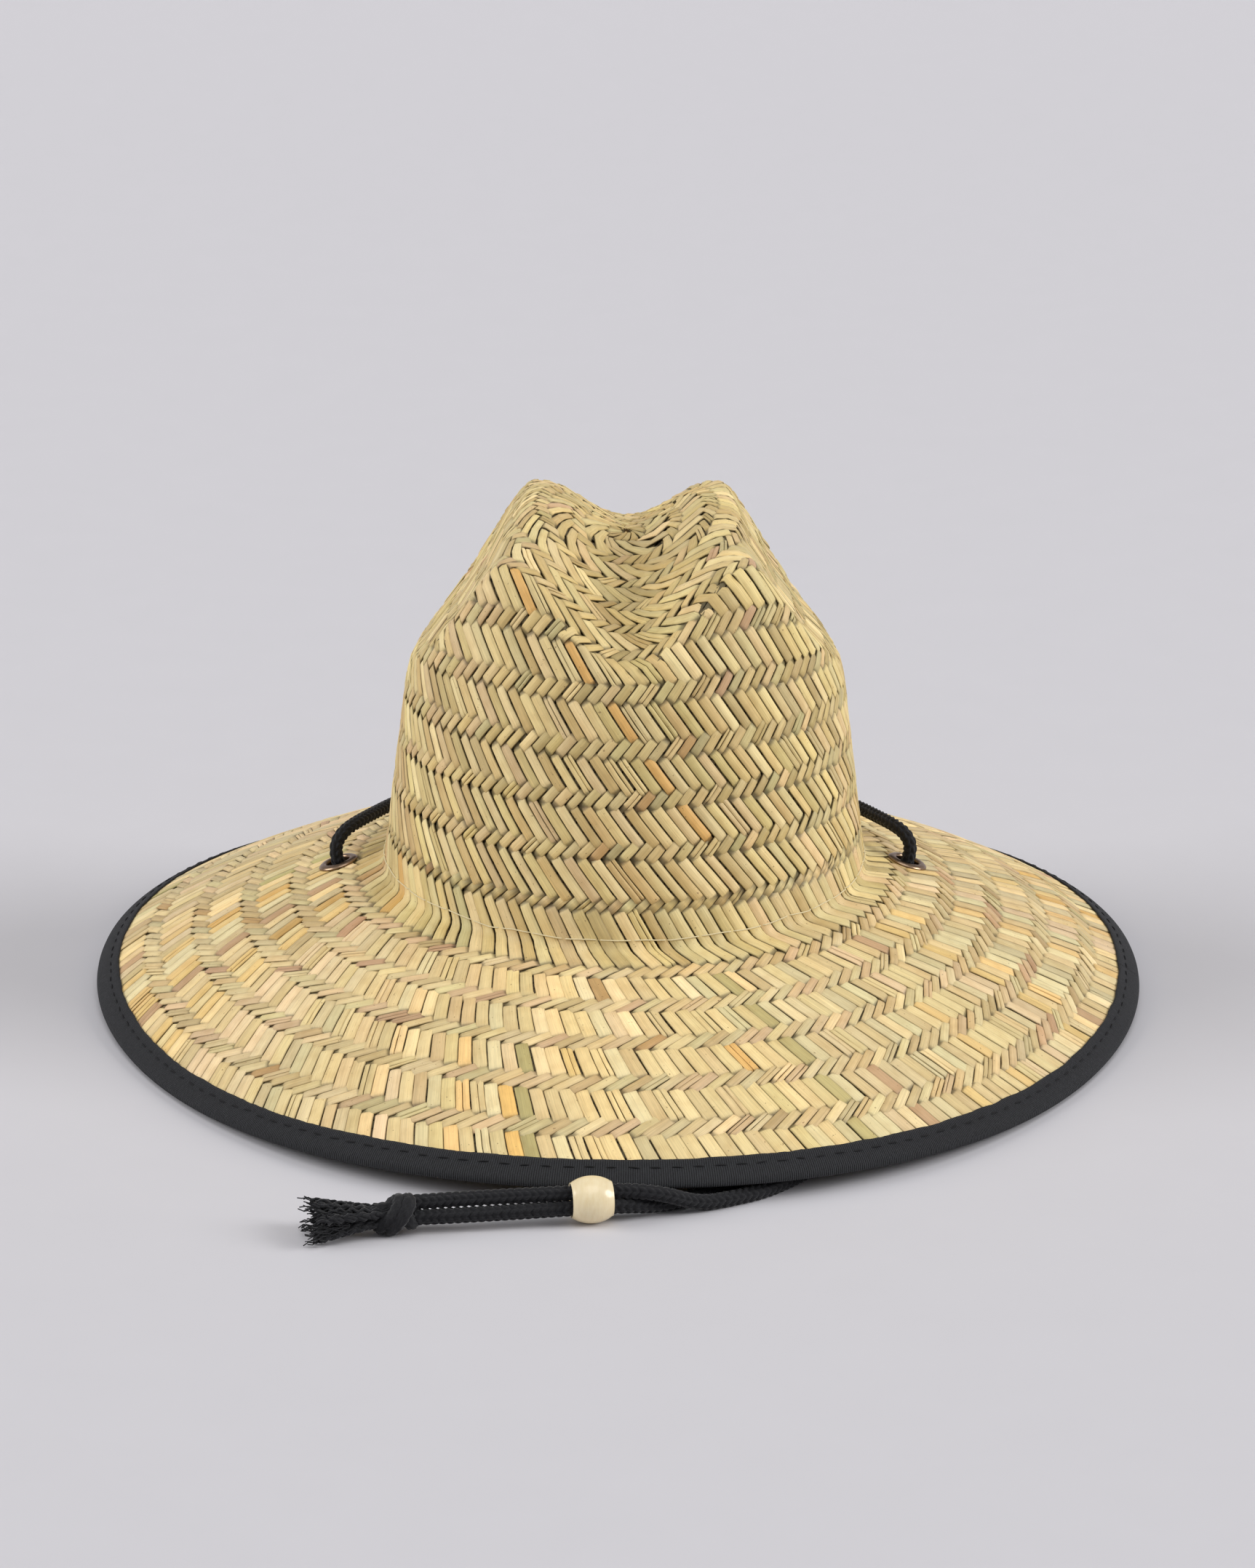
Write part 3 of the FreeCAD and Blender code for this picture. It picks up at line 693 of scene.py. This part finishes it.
def weave_brim():
    """The brim's courses outside the fold, above and below. The last runs out under the binding."""
    old_a = old_b = None
    long, short = over_between(-0.65, 3.55, -1.4, 5.7), over_between(3.35, 5.6, -0.5, 6.2)
    stations, heights = over_between(-0.65, 3.5, -1.4, 3.6)
    flat = np.array([-0.9, 0.6, 2.1, 3.4])
    for k, count in enumerate(BRIM_COUNTS, start=1):
        start = BRIM_START + COURSE_ROWS * k * BRIM_ROW
        course = Course(BRIM, start, BRIM_ROW, count, BRIM_SLANT, turn=BRIM_SLANT * COURSE_ROWS * k)
        if k == len(BRIM_COUNTS):
            long, short = (stations[:-1], heights[:-1]), (flat, np.full(4, UNDER))
        old_a = next_colours(old_a, BRIM_A, count, 0.05, 0.0)
        old_b = next_colours(old_b, BRIM_B, count, 0.04, -6.0)
        for label, inner in SIDES:
            parts = [
                lay_strips(course, course.slant, long, old_a, *BRIM_FIT, inner),
                lay_strips(course, course.cross, short, old_b, *BRIM_FIT, inner),
            ]
            weave("brim_weave_%02d%s" % (k, label), parts, "straw_brim")


SHADOW_SHEET_DEPTH = 1.75


def make_shadow_sheet():
    """A dark sheet between the outer and the inner strips: painted shade that shows through the gaps of the
    weave.
    """
    angles = full_turn(480)
    for name, surface, shares, slot, node in (
        ("crown_shadow_sheet", CROWN, np.linspace(0.0, 1.0, 90), "crown_straw", "straw_crown"),
        ("brim_shadow_sheet", BRIM, np.linspace(0.0, 0.95, 60), "brim_straw", "straw_brim"),
    ):
        a, s = np.meshgrid(angles, shares, indexing="ij")
        there, normal = surface.at(a, s)
        points = (there - normal * SHADOW_SHEET_DEPTH).reshape(-1, 3)
        faces = grid_faces(len(angles), len(shares), close_rows=True)
        points, faces = round_eyelets(points, faces)
        make_mesh(name, points, faces, "core", node)


# ---------------------------------------------------------------- edge binding
EDGE_WAVER = 0.0035                                # of the tape's upper edge, as a share of the brim


def make_binding():
    """The tape folded round the brim's edge.

    Its section runs from the upper edge round the nose to the lower edge. Shares are of the brim,
    and lifts and depths are above and below the straw's top.
    """
    count = 1200
    shares = BINDING_SHARE + np.array([0.0, 0.0, 0.008, 0.018, 0.028, 0.042, 0.056, 0.066, 0.073])
    lifts = np.array([0.15, 0.60, 0.80, 0.76, 0.60, 0.74, 0.66, 0.50, 0.30])
    nose_share = np.array([0.9955, 1.0, 1.0, 0.9955])
    nose_depth = np.array([0.2, 0.8, 1.5, 2.1])
    under_depths = WALL + np.array([-0.5, 0.0, 0.4, 0.7, 0.76, 0.76, 0.7, 0.3])
    under_shares = BINDING_SHARE + np.array([0.073, 0.064, 0.054, 0.042, 0.028, 0.012, 0.0, 0.0])
    share = np.concatenate([shares, nose_share, under_shares])
    depth = np.concatenate([-lifts, nose_depth, under_depths])
    angles = full_turn(count)
    edge = np.convolve(np.tile(rng.normal(0.0, 1.0, count), 3), np.ones(9) / 9, "same")[count:2 * count]
    a, s = np.meshgrid(angles, share, indexing="ij")
    s = s + (edge * EDGE_WAVER)[:, None] * (s < BINDING_SHARE + 0.001)
    there, normal = BRIM.at(a, s)
    points = there - normal * depth[None, :, None]
    run = distance_along(points[:, 4])
    across = distance_along(points[0])
    strand = np.stack(np.broadcast_arrays(across[None, :], run[:, None], 3.0), axis=-1)
    faces = grid_faces(count, len(share), close_rows=True)
    make_mesh("binding_tape", points, faces, "tape", "brim_binding", strand=strand)


def tube_along(line, radius, around=6, closed=False):
    """Points and quads of a round tube along a line. radius may vary along it and round it."""
    line = np.asarray(line, dtype=float)
    if closed:
        forward = np.roll(line, -1, axis=0) - np.roll(line, 1, axis=0)
    else:
        forward = np.gradient(line, axis=0)
    forward /= np.linalg.norm(forward, axis=1, keepdims=True) + 1e-12
    side = np.zeros_like(line)
    guess = np.array([0.0, 0.0, 1.0]) if abs(forward[0, 2]) < 0.9 else np.array([1.0, 0.0, 0.0])
    for k, step in enumerate(forward):
        guess = guess - step * (guess @ step)
        guess /= np.linalg.norm(guess) + 1e-12
        side[k] = guess
    other = np.cross(forward, side)
    turn = full_turn(around)
    radius = np.asarray(radius, dtype=float)
    if radius.ndim < 2:
        radius = np.broadcast_to(radius, (len(line),))[:, None]
    ring = side[:, None] * np.cos(turn)[None, :, None] + other[:, None] * np.sin(turn)[None, :, None]
    points = line[:, None] + ring * radius[..., None]
    return points.reshape(-1, 3), grid_faces(len(line), around, close_rows=closed, close_columns=True)


def make_stitches():
    """A running stitch in the tape: short threads that dip into it at both ends."""
    count, sewn, share, radius = 170, 0.62, BINDING_SHARE + 0.028, 0.3
    parts = []
    for k in range(count):
        length = sewn * rng.uniform(0.85, 1.1)
        angles = 2.0 * np.pi * (k + length * np.linspace(0.0, 1.0, 7)) / count
        shares = share + rng.normal(0.0, 0.0012) + np.linspace(-1, 1, 7) * rng.normal(0.0, 0.0012)
        there, normal = BRIM.at(angles, shares)
        lift = 0.50 + np.array([-0.35, 0.12, 0.24, 0.27, 0.24, 0.12, -0.35])
        parts.append(tube_along(there + normal * lift[:, None], radius))
    points, faces = merge(parts)
    make_mesh("tape_stitches", points, faces, "black_thread", "binding_stitches")


def make_seam_thread():
    """The thread that holds the sweatband: it lies on the straw and dips between its stitches."""
    stitches, share, radius = 46, 0.017, 0.24
    angles = full_turn(1400)
    wave = np.sin(stitches * angles)
    wander = np.interp(angles, np.linspace(0, 2 * np.pi, 60), rng.normal(0, 0.0016, 60), period=2 * np.pi)
    there, normal = CROWN.at(angles, share + wander)
    lift = 0.16 - 0.75 * np.clip(-wave - 0.86, 0.0, 1.0) / 0.14
    points, faces = tube_along(there + normal * lift[:, None], radius, closed=True)
    make_mesh("seam_thread", points, faces, "cream_thread", "crown_seam_thread")


def make_sweatband():
    """A cotton band inside the crown, with a rolled lower edge."""
    angles = full_turn(360)
    shares = np.concatenate([[0.004, 0.0, 0.004], np.linspace(0.015, 0.19, 14), [0.193, 0.19]])
    depths = np.concatenate([[3.1, 3.7, 4.3], np.full(14, 4.15), [3.9, 3.2]])
    ease = np.interp(angles, np.linspace(0, 2 * np.pi, 40), rng.normal(0, 0.18, 40), period=2 * np.pi)
    a, s = np.meshgrid(angles, shares, indexing="ij")
    there, normal = CROWN.at(a, s)
    swell = np.clip((shares - 0.02) / 0.1, 0.0, 1.0)
    depth = depths[None, :] + np.abs(ease)[:, None] * swell[None, :] * (depths[None, :] > 3.5)
    points = there - normal * depth[..., None]
    faces = grid_faces(len(angles), len(shares), close_rows=True)
    make_mesh("sweatband_cloth", points, faces, "sweatband", "sweatband")


# ---------------------------------------------------------------- eyelets and bead
def lathe(profile, centre, axis, turns=64):
    """Turns a profile of (radius, height) points about an axis."""
    profile = np.asarray(profile)
    axis = np.asarray(axis) / np.linalg.norm(axis)
    side = np.cross(axis, [0.0, 1.0, 0.0])
    side /= np.linalg.norm(side)
    other = np.cross(axis, side)
    turn = full_turn(turns)
    ring = side * np.cos(turn)[:, None] + other * np.sin(turn)[:, None]
    points = centre + ring[:, None] * profile[None, :, :1] + axis * profile[None, :, 1:]
    return points.reshape(-1, 3), grid_faces(turns, len(profile), close_rows=True, close_columns=True)


def arc(centre, radius, start, end, steps):
    """Points of an arc in the plane, from start to end in degrees."""
    turn = np.radians(np.linspace(start, end, steps))
    return [(centre[0] + radius * math.cos(t), centre[1] + radius * math.sin(t)) for t in turn]


def make_eyelets():
    """Each eyelet's flanged barrel above the brim and its washer below."""
    rim = 0.5 * (EYELET_FLANGE + EYELET_BORE)
    for side, (centre, normal) in EYELETS.items():
        bottom = -WALL - 1.0
        ring = [(EYELET_FLANGE, 0.05), (EYELET_FLANGE - 0.1, 0.35)]
        ring += [(rim + 0.6, 0.95)] + arc((EYELET_BORE + 1.0, 0.15), 1.0, 75, 180, 8)
        ring += [(EYELET_BORE, bottom), (EYELET_BARREL - 0.1, bottom), (EYELET_BARREL - 0.1, 0.05)]
        points, faces = lathe(ring, centre, normal)
        make_mesh("eyelet_%s_ring" % side, points, faces, "brass", "eyelet_" + side)
        low = -WALL - 0.15
        disc = [(EYELET_BARREL, low), (EYELET_FLANGE, low), (EYELET_FLANGE, low - 0.5)]
        disc += [(EYELET_FLANGE - 0.3, low - 0.8), (EYELET_BARREL + 0.4, low - 0.8)]
        disc += [(EYELET_BARREL, low - 0.5)]
        points, faces = lathe(disc, centre, normal)
        make_mesh("eyelet_%s_back" % side, points, faces, "brass", "eyelet_%s_washer" % side)


KNOT = np.array([-69.0, -225.7, 6.6])
BEAD = np.array([-7.7, -215.3, 7.65])
TO_BEAD = (BEAD - KNOT) * [1, 1, 0] / np.linalg.norm((BEAD - KNOT)[:2])
ACROSS = np.array([-TO_BEAD[1], TO_BEAD[0], 0.0])
BEAD_RADIUS, BEAD_BORE, BEAD_HALF_LENGTH = 7.65, 5.3, 6.9


def make_bead():
    """A round bead, a little longer than a ball cut off at its bore, with softly rounded mouths."""
    end = math.degrees(math.acos(BEAD_BORE / BEAD_RADIUS))
    stretch = BEAD_HALF_LENGTH / math.sqrt(BEAD_RADIUS**2 - BEAD_BORE**2)
    outline = [(r, z * stretch) for r, z in arc((0.0, 0.0), BEAD_RADIUS, 4 - end, end - 4, 41)]
    top = outline[-1][1]
    lip = [(BEAD_BORE + 0.36, top + 0.22), (BEAD_BORE + 0.14, top + 0.18), (BEAD_BORE, top - 0.1)]
    outline += lip + [(BEAD_BORE, top - 1.5)] + [(r, -z) for r, z in [(BEAD_BORE, top - 1.5)] + lip[::-1]]
    points, faces = lathe(outline, BEAD, TO_BEAD, 96)
    return make_mesh("chin_bead_turned", points, faces, "bead", "chin_bead", body="bead")


# ---------------------------------------------------------------- chin cord
CORD_RADIUS, FALL_RADIUS = 2.3, 2.4
BRAID_COLUMNS, BRAID_STITCH = 8, 2.5
BRAID_MIDDLE = 0.70                                # the relief that lies at a cord's radius
FLOOR_GAP = 0.05

# The routes' points, as in the CAD model.
BEHIND_CROWN = [
    (-101.4, 10.9, 45.0), (-102.7, 10.9, 49.3), (-102.6, 12.1, 53.5), (-100.4, 14.9, 56.7),
    (-96.9, 19.6, 58.4), (-91.8, 29.0, 58.7), (-83.5, 47.5, 58.0), (-69.9, 71.2, 57.0),
    (-52.0, 91.3, 56.0), (-30.6, 106.0, 55.6), (-7.0, 113.8, 55.4), (17.4, 113.2, 55.5),
    (40.4, 103.9, 55.8), (60.8, 87.6, 56.3), (78.2, 65.5, 57.0), (89.6, 45.0, 57.8),
    (96.2, 30.5, 58.5), (100.6, 22.6, 58.4), (104.0, 18.6, 56.8), (106.1, 16.5, 53.6),
    (105.9, 16.1, 49.3), (104.6, 16.1, 45.0),
]
LEFT_FALL = [
    (-101.4, 10.9, 45.0), (-99.1, 10.9, 37.4), (-97.5, 9.6, 28.0), (-95.0, 6.4, 18.5),
    (-90.0, 0.4, 10.0), (-82.0, -7.9, 4.6), (-71.0, -16.6, 2.5), (-54.0, -29.6, 2.4),
    (-30.9, -44.1, 2.4), (-6.0, -61.1, 2.4), (17.1, -83.2, 2.4), (36.0, -109.2, 2.4),
    (48.0, -136.2, 2.4), (51.0, -157.0, 2.4), (46.5, -175.5, 2.4), (36.5, -189.5, 2.4),
    (25.5, -199.5, 2.4), (14.5, -208.4, 3.0),
]
RIGHT_FALL = [
    (104.6, 16.1, 45.0), (102.3, 16.1, 37.4), (102.6, 13.9, 28.6), (105.0, 9.4, 20.0),
    (108.5, 2.2, 12.0), (112.0, -8.2, 6.0), (114.5, -21.1, 3.0), (115.0, -38.1, 2.4),
    (112.0, -61.1, 2.4), (105.0, -86.2, 2.4), (97.0, -112.2, 2.4), (84.0, -138.2, 2.4),
    (71.0, -162.2, 2.4), (60.5, -180.0, 2.4), (49.0, -193.5, 2.4), (38.0, -200.5, 2.5),
    (27.0, -206.5, 2.8), (14.5, -212.3, 8.8),
]
# From the far side of the bead into the knot: how far past the bead's middle, and how far aside.
THROUGH_BEAD = [(-10.0, 2.4), (8.0, 2.4), (27.0, 2.56), (46.0, 2.56), (57.0, 2.4)]
# From the lower cord to the upper one, which also lies a little nearer the hat.
STACKED = ACROSS * 0.45 + np.array([0.0, 0.0, 0.89])


def into_knot(side):
    """The last stretch of a fall, above or below the middle of the bead."""
    return [tuple(BEAD - TO_BEAD * past + STACKED * side * aside) for past, aside in THROUGH_BEAD]


def spline_line(name, route):
    """Points read from a smooth curve whose control points are the route's."""
    curve = bpy.data.curves.new(name, "CURVE")
    curve.dimensions = "3D"
    curve.resolution_u = 24
    spline = curve.splines.new("NURBS")
    spline.points.add(len(route) - 1)
    for point, (x, y, z) in zip(spline.points, route):
        point.co = (x * MM, y * MM, z * MM, 1.0)
    spline.order_u = 3
    spline.use_endpoint_u = True
    holder = new_object(name, curve)
    mesh = bpy.data.meshes.new_from_object(holder)
    line = np.array([v.co[:] for v in mesh.vertices]) / MM
    bpy.data.objects.remove(holder)
    bpy.data.curves.remove(curve)
    bpy.data.meshes.remove(mesh)
    return line


def evenly(line, step):
    """The line in even steps, and how far along it each point is."""
    gone = distance_along(line)
    want = np.linspace(0.0, gone[-1], int(gone[-1] / step) + 1)
    return np.stack([np.interp(want, gone, line[:, k]) for k in range(3)], axis=1), want


def braid_relief(run, turn):
    """Relief of a round braid, from 0 to 1: columns of slanting stitches that meet in Vs."""
    column = turn[None, :] / (2.0 * np.pi) * BRAID_COLUMNS
    slant = np.abs((column % 2.0) - 1.0)
    stitch = (run[:, None] / BRAID_STITCH + 0.75 * slant) % 1.0
    across = np.abs(np.sin(np.pi * column))
    return np.sin(np.pi * stitch) ** 0.55 * (0.45 + 0.55 * across**0.5)


def braided_tube(line, radius, around=40, relief=0.85):
    """A tube with a braid's relief. radius may be a list of radii spread evenly along it."""
    line, run = evenly(line, 0.4)
    turn = full_turn(around)
    radii = np.interp(run, np.linspace(0, run[-1], np.size(radius)), np.atleast_1d(radius))[:, None]
    radii = radii + relief * (braid_relief(run, turn) - BRAID_MIDDLE)
    points, faces = tube_along(line, radii, around)
    strand = np.stack(np.broadcast_arrays(turn[None, :] * CORD_RADIUS, run[:, None], 1.0), axis=-1)
    return points, faces, strand.reshape(-1, 3)


def make_cord(name, node, route, thickness=CORD_RADIUS):
    """One stretch of the chin cord. Its braid flattens where it lies on the floor."""
    line = spline_line(name + "_route", route)
    points, faces, strand = braided_tube(line, thickness)
    points[..., 2] = np.maximum(points[..., 2], FLOOR_GAP)
    piece = make_mesh(name, points, faces[:, ::-1], "cord", node, strand=strand)


# The knot's wraps: where each starts, its lean along the cord, its reach, its cord and its place.
WRAPS = ((0.4, 3.2, 4.3, 2.6, 0.6), (3.3, 2.9, 3.9, 2.5, -2.2), (1.8, -2.0, 3.0, 2.4, 2.6))


def make_knot():
    """An overhand knot pulled tight: slanting wraps of the two cords over their own core."""
    turn = np.linspace(0.0, 1.0, 120)
    parts = []
    for start, lean, reach, radius, place in WRAPS:
        angle = start + turn * 1.15 * 2.0 * np.pi
        along = place + 1.2 * (turn - 0.5) + lean * np.sin(angle)
        swell = reach * (1.0 - 0.55 * np.abs(2.0 * turn - 1.0) ** 6)
        line = KNOT + TO_BEAD * along[:, None] + ACROSS * (swell * np.cos(angle))[:, None]
        line[:, 2] = np.maximum(line[:, 2] + swell * np.sin(angle), radius + 0.3)
        parts.append(braided_tube(line, radius, around=32, relief=0.55))
    for aside in (-1.6, 1.6):
        core = KNOT + TO_BEAD * np.linspace(-7.5, 6.0, 30)[:, None] + STACKED * aside
        parts.append(braided_tube(core, [2.1, 2.5, 2.5], around=32, relief=0.55))
    points, faces, strand = merge(parts)
    faces = faces[:, ::-1]
    return make_mesh("cord_knot_tied", points, faces, "cord", "cord_knot", strand=strand)


YARNS, THICK_YARNS = 170, 95


def make_tassel():
    """The two frayed ends: crinkled yarns that leave the knot together and fan out over the floor."""
    parts = []
    for k in range(YARNS):
        thick = k < THICK_YARNS
        around = 6 if thick else 4
        first = 3.0 if thick else rng.uniform(14.0, 20.0)
        reach = rng.uniform(22.0, 27.5) if thick else rng.uniform(25.0, 31.0)
        aside, height = rng.uniform(-1.0, 1.0), rng.uniform(-1.0, 1.0)
        along = np.linspace(first, reach, 26 if thick else 9)
        t = along / 30.0
        wide = aside * (2.4 + 9.2 * t**1.3)
        high = 6.4 - 0.4 * t + height * (1.9 + 4.6 * t**1.2) * math.sqrt(1.0 - 0.6 * aside**2)
        phase, beat = rng.uniform(0, 2 * np.pi, 2), rng.uniform(1.1, 1.7)
        crinkle = 0.42 * np.minimum(t * 4.0, 1.0)
        wide = wide + crinkle * np.sin(beat * along + phase[0])
        line = KNOT - TO_BEAD * along[:, None] + ACROSS * wide[:, None]
        line[:, 2] = np.maximum(high + crinkle * np.sin(beat * along + phase[1]), 0.72)
        points, faces = tube_along(line, np.linspace(0.66, 0.5, len(along)) if thick else 0.2, around)
        strand = np.stack(np.broadcast_arrays(0.0, np.repeat(along, around), 20.0 + k), axis=-1)
        parts.append((points, faces, strand))
    points, faces, strand = merge(parts)
    return make_mesh("cord_tassel_yarns", points, faces, "cord", "cord_tassel", strand=strand)


# ---------------------------------------------------------------- stage
# The camera: what it looks at, its height over it, distance and roll, and its lens and sensor in mm.
TARGET = Vector((0.00298, 0.00585, 0.0786))
ELEVATION, DISTANCE, ROLL = math.radians(17.0), 1.656, math.radians(0.37)
LENS, SENSOR = 131.9, 36.0

# Each sun's name, azimuth, elevation, strength and the width of its disc.
SUNS = (("left", -82, 28, 1.5, 35), ("right", 82, 28, 1.75, 30), ("top", 10, 72, 0.75, 45))


def make_camera():
    camera = bpy.data.cameras.new("camera")
    camera.sensor_fit = "HORIZONTAL"
    camera.sensor_width = SENSOR
    camera.lens = LENS
    camera.clip_end = 20.0
    holder = new_object("camera", camera)
    back = Vector((0.0, -math.cos(ELEVATION), math.sin(ELEVATION)))
    holder.location = TARGET + back * DISTANCE
    holder.rotation_euler = back.to_track_quat("Z", "Y").to_euler()
    holder.rotation_euler.rotate_axis("Z", ROLL)
    bpy.context.scene.camera = holder


def make_floor():
    """A seamless backdrop: a flat floor that curves up behind."""
    bend, reach, front, wide, high = 1.5, 4.0, -12.0, 12.0, 5.0
    turn = np.radians(np.linspace(0, 90, 24))
    side = [(front, 0.0), (reach, 0.0)]
    side += [(reach + bend * math.sin(t), bend - bend * math.cos(t)) for t in turn[1:]]
    side += [(reach + bend, high)]
    points = np.array([[(x, y, z) for y, z in side] for x in (-wide, wide)]) / MM
    mesh = bpy.data.meshes.new("backdrop")
    mesh.from_pydata([tuple(p * MM) for p in points.reshape(-1, 3)], [],
                     [tuple(f) for f in grid_faces(2, len(side))[:, ::-1].tolist()])
    for face in mesh.polygons:
        face.use_smooth = True
    paper = plain_material("backdrop_paper", srgb(207, 205, 209), 0.9, 0.1, mottling=0.004, grain_mm=30)
    mesh.materials.append(paper)
    new_object("backdrop", mesh)


def sun(name, azimuth, elevation, strength, spread):
    """A distant light with a wide disc, for an even floor and soft shadows. Angles in degrees."""
    light = bpy.data.lights.new(name, "SUN")
    light.energy = strength
    light.angle = math.radians(spread)
    holder = new_object(name, light)
    az, el = math.radians(azimuth), math.radians(elevation)
    toward = Vector((math.cos(el) * math.sin(az), -math.cos(el) * math.cos(az), math.sin(el)))
    holder.rotation_euler = toward.to_track_quat("Z", "Y").to_euler()


def light_stage():
    """Soft, nearly even studio light."""
    world = bpy.data.worlds.new("studio")
    world.use_nodes = True
    world.node_tree.nodes["Background"].inputs["Color"].default_value = (0.97, 0.98, 1.0, 1.0)
    world.node_tree.nodes["Background"].inputs["Strength"].default_value = 0.30
    bpy.context.scene.world = world
    for settings in SUNS:
        sun(*settings)
    bpy.context.scene.view_settings.view_transform = "Standard"


# ---------------------------------------------------------------- build
make_camera()
make_floor()
light_stage()
weave_fold()
weave_crown()
weave_brim()
make_shadow_sheet()
make_binding()
make_stitches()
make_seam_thread()
make_sweatband()
make_eyelets()
bead = make_bead()
knot = make_knot()
tassel = make_tassel()
make_cord("cord_behind", "cord_behind_crown", BEHIND_CROWN)
make_cord("cord_left", "cord_left_fall", LEFT_FALL + into_knot(-1), FALL_RADIUS)
make_cord("cord_right", "cord_right_fall", RIGHT_FALL + into_knot(1), FALL_RADIUS)
